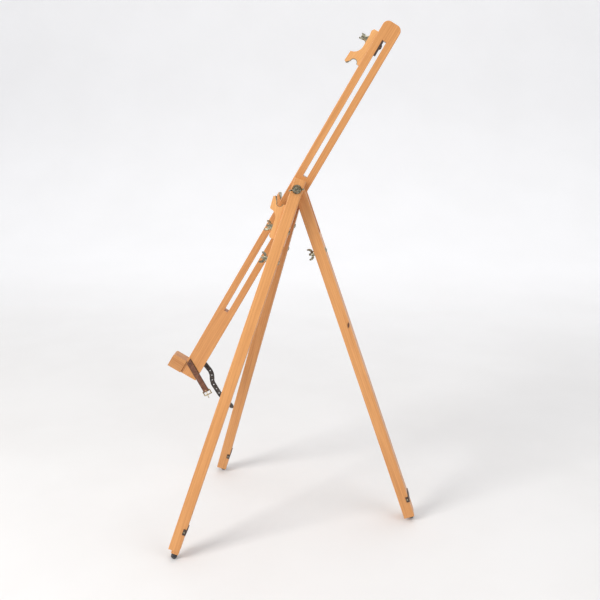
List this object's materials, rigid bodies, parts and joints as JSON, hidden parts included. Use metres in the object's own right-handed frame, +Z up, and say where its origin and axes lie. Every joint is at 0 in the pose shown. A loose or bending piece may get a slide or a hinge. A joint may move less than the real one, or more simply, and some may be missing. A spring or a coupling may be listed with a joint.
{
  "type": "folding field easel",
  "caption": "Folding wooden tripod easel with a tilting slotted mast, sliding canvas clamp, box hooks on the front legs, drawn-out legs and tie straps.",
  "frame": {"origin": "centre of the easel's footprint box, on the ground", "axes": "+Z up; -X towards the painter; the mast and the rear leg lie in the y = 0 plane"},
  "size_m": [0.609, 0.4538, 1.1768],
  "materials": {
    "beech": "oiled",
    "pale_beech": "oiled",
    "plated_steel": "dull zinc plate",
    "dark_steel": "blued",
    "brass": "aged",
    "brown_leather": "satin",
    "black_leather": "satin",
    "rubber": "matt"
  },
  "bodies": {
    "rear_leg": {"rear_leg_upper": "beech", "rear_leg_keeper": "dark_steel", "rear_leg_keeper_screws": "plated_steel", "head_bolt": "plated_steel", "head_washer": "plated_steel"},
    "rear_lower_leg": {"rear_leg_lower": "beech", "rear_leg_foot": "rubber", "rear_leg_bolt": "plated_steel", "rear_leg_washer": "plated_steel"},
    "rear_lock_nut": {"rear_leg_wing_nut": "plated_steel"},
    "head_nut": {"head_wing_nut": "plated_steel"},
    "mast": {"mast": "beech", "canvas_rest": "beech", "canvas_rest_screws": "plated_steel", "buckle_strap": "brown_leather", "strap_buckle": "brass", "punched_strap": "black_leather", "strap_nails": "dark_steel"},
    "buckle_tongue": {"buckle_tongue": "brass"},
    "top_clamp": {"top_clamp": "pale_beech", "top_clamp_liner": "plated_steel", "top_clamp_slide_plate": "dark_steel", "top_clamp_bolt": "plated_steel", "top_clamp_washer": "plated_steel"},
    "top_clamp_nut": {"top_clamp_wing_nut": "plated_steel"},
    "right_leg": {"right_leg_upper": "beech", "right_leg_keeper": "dark_steel", "right_leg_keeper_screws": "plated_steel", "right_box_hook_bolt": "plated_steel"},
    "right_lower_leg": {"right_leg_lower": "beech", "right_leg_foot": "rubber", "right_leg_bolt": "plated_steel", "right_leg_washer": "plated_steel"},
    "right_lock_nut": {"right_leg_wing_nut": "plated_steel"},
    "right_box_hook": {"right_box_hook": "pale_beech", "right_box_hook_liner": "plated_steel", "right_box_hook_washer": "plated_steel"},
    "right_box_hook_nut": {"right_box_hook_wing_nut": "plated_steel"},
    "left_leg": {"left_leg_upper": "beech", "left_leg_keeper": "dark_steel", "left_leg_keeper_screws": "plated_steel", "left_box_hook_bolt": "plated_steel"},
    "left_lower_leg": {"left_leg_lower": "beech", "left_leg_foot": "rubber", "left_leg_bolt": "plated_steel", "left_leg_washer": "plated_steel"},
    "left_lock_nut": {"left_leg_wing_nut": "plated_steel"},
    "left_box_hook": {"left_box_hook": "pale_beech", "left_box_hook_liner": "plated_steel", "left_box_hook_washer": "plated_steel"},
    "left_box_hook_nut": {"left_box_hook_wing_nut": "plated_steel"}
  },
  "joints": [
    {"name": "mast_tilt", "type": "hinge", "parent": "rear_leg", "child": "mast", "pos_m": [0.01745, 0, 0.82648], "axis": [0, 1, 0], "range_deg": [-29, 59.2]},
    {"name": "head_nut_turn", "type": "hinge", "parent": "rear_leg", "child": "head_nut", "pos_m": [0.01745, -0.04687, 0.82648], "axis": [0, -1, 0], "continuous": true},
    {"name": "buckle_tongue_turn", "type": "hinge", "parent": "mast", "child": "buckle_tongue", "pos_m": [-0.21175, -0.0121, 0.33136], "axis": [0.8813, 0, 0.4726], "range_deg": [-80, 12]},
    {"name": "top_clamp_slide", "type": "slide", "parent": "mast", "child": "top_clamp", "axis": [0.512, 0, 0.859], "range_m": [-0.296, 0]},
    {"name": "top_clamp_nut_turn", "type": "hinge", "parent": "top_clamp", "child": "top_clamp_nut", "pos_m": [0.1637, 0, 1.14211], "axis": [-0.859, 0, 0.512], "continuous": true},
    {"name": "rear_leg_slide", "type": "slide", "parent": "rear_leg", "child": "rear_lower_leg", "axis": [0.319, 0, -0.9478], "range_m": [0, 0.4]},
    {"name": "rear_lock_nut_turn", "type": "hinge", "parent": "rear_lower_leg", "child": "rear_lock_nut", "pos_m": [0.05174, 0, 0.67447], "axis": [-0.9478, 0, -0.319], "continuous": true},
    {"name": "right_leg_swing", "type": "hinge", "parent": "rear_leg", "child": "right_leg", "pos_m": [0.01745, 0, 0.82648], "axis": [0, 1, 0], "range_deg": [-37.29, 10]},
    {"name": "right_leg_slide", "type": "slide", "parent": "right_leg", "child": "right_lower_leg", "axis": [-0.3133, -0.2079, -0.9266], "range_m": [-0.01, 0.39]},
    {"name": "right_lock_nut_turn", "type": "hinge", "parent": "right_lower_leg", "child": "right_lock_nut", "pos_m": [-0.05097, -0.06753, 0.67408], "axis": [-0.9473, 0, 0.3203], "continuous": true},
    {"name": "right_box_hook_turn", "type": "hinge", "parent": "right_leg", "child": "right_box_hook", "pos_m": [-0.02588, -0.05277, 0.73891], "axis": [-0.9473, 0, 0.3203], "range_deg": [-90, 0]},
    {"name": "right_box_hook_nut_turn", "type": "hinge", "parent": "right_leg", "child": "right_box_hook_nut", "pos_m": [-0.04009, -0.05277, 0.74371], "axis": [-0.9473, 0, 0.3203], "continuous": true},
    {"name": "left_leg_swing", "type": "hinge", "parent": "rear_leg", "child": "left_leg", "pos_m": [0.01745, 0, 0.82648], "axis": [0, 1, 0], "range_deg": [-35.2, 10]},
    {"name": "left_leg_slide", "type": "slide", "parent": "left_leg", "child": "left_lower_leg", "axis": [-0.2794, 0.2079, -0.9374], "range_m": [0, 0.4]},
    {"name": "left_lock_nut_turn", "type": "hinge", "parent": "left_lower_leg", "child": "left_lock_nut", "pos_m": [-0.04259, 0.06545, 0.68107], "axis": [-0.9583, 0, 0.2857], "continuous": true},
    {"name": "left_box_hook_turn", "type": "hinge", "parent": "left_leg", "child": "left_box_hook", "pos_m": [-0.02267, 0.05277, 0.73739], "axis": [-0.9583, 0, 0.2857], "range_deg": [0, 90]},
    {"name": "left_box_hook_nut_turn", "type": "hinge", "parent": "left_leg", "child": "left_box_hook_nut", "pos_m": [-0.03704, 0.05277, 0.74167], "axis": [-0.9583, 0, 0.2857], "continuous": true}
  ]
}
